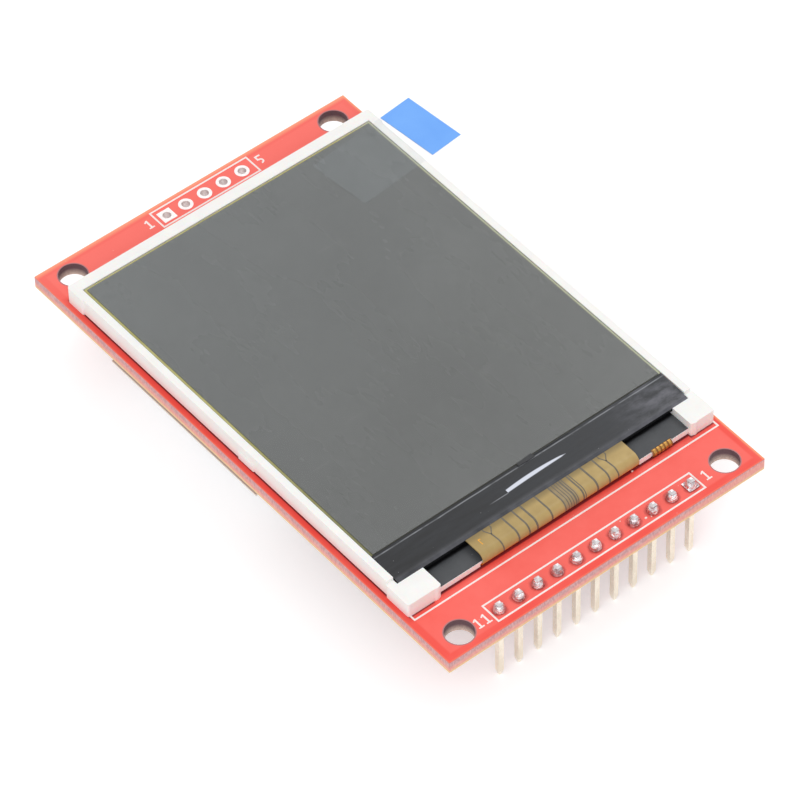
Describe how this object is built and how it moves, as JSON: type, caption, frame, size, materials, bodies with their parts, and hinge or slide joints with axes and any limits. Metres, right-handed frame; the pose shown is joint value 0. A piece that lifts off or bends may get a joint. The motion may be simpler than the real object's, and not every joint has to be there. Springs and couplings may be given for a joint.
{
  "type": "tft display module",
  "caption": "Small colour TFT display on a red carrier board with a row of header pins, unfilled card header holes and a card socket on the back.",
  "frame": {"origin": "middle of the four mounting holes, on the underside of the carrier board", "axes": "+X along the pin row towards the first pin, +Y along the board away from the pin row, +Z out of the display face"},
  "size_m": [0.0463, 0.0686, 0.0124],
  "materials": {
    "board_laminate": "gloss",
    "tinned_copper": "satin",
    "header_plastic": "matte",
    "solder": "satin",
    "gilt_pin": "polished",
    "white_moulding": "satin",
    "reflector": "polished",
    "clear_acrylic": "polished",
    "white_film": "matte",
    "amber_flex": "satin",
    "lamp_body": "satin",
    "gilt_trace": "satin",
    "dark_film": "satin",
    "black_tape": "satin",
    "polarizer_sheet": "polished",
    "panel_glass": "polished",
    "silicon": "polished",
    "tan_flex": "satin",
    "clear_film": "polished",
    "blue_film": "satin",
    "foam": "matte",
    "tinned_steel": "satin",
    "black_moulding": "matte",
    "gilt_spring": "polished",
    "tinned_lead": "satin",
    "dark_ceramic": "satin",
    "tan_ceramic": "satin"
  },
  "bodies": {
    "root": {"board": "board_laminate", "card_header_pads": "tinned_copper", "header_strip": "header_plastic", "header_solder": "solder", "header_pin_1": "gilt_pin", "header_pin_2": "gilt_pin", "header_pin_3": "gilt_pin", "header_pin_4": "gilt_pin", "header_pin_5": "gilt_pin", "header_pin_6": "gilt_pin", "header_pin_7": "gilt_pin", "header_pin_8": "gilt_pin", "header_pin_9": "gilt_pin", "header_pin_10": "gilt_pin", "header_pin_11": "gilt_pin", "lcd_frame": "white_moulding", "reflector_sheet": "reflector", "light_guide": "clear_acrylic", "diffuser_film": "white_film", "prism_film_lower": "white_film", "prism_film_upper": "white_film", "lamp_flex": "amber_flex", "lamps": "lamp_body", "tail_traces": "gilt_trace", "lamp_shade_film": "dark_film", "rim_tape": "black_tape", "rear_polarizer": "polarizer_sheet", "array_glass": "panel_glass", "filter_glass": "panel_glass", "front_polarizer": "polarizer_sheet", "driver_chip": "silicon", "driver_tape": "black_tape", "main_flex": "tan_flex", "flex_pads": "tinned_copper", "protective_film": "clear_film", "pull_tab_clear": "clear_film", "pull_tab_blue": "blue_film", "foam_tape": "foam", "socket_shell": "tinned_steel", "socket_base": "black_moulding", "socket_contacts": "gilt_spring", "regulator_body": "black_moulding", "regulator_leads": "tinned_lead", "transistor_body": "black_moulding", "transistor_leads": "tinned_lead", "resistor_bodies": "dark_ceramic", "resistor_caps": "tinned_lead", "capacitor_bodies": "tan_ceramic", "capacitor_caps": "tinned_lead"}
  },
  "joints": []
}
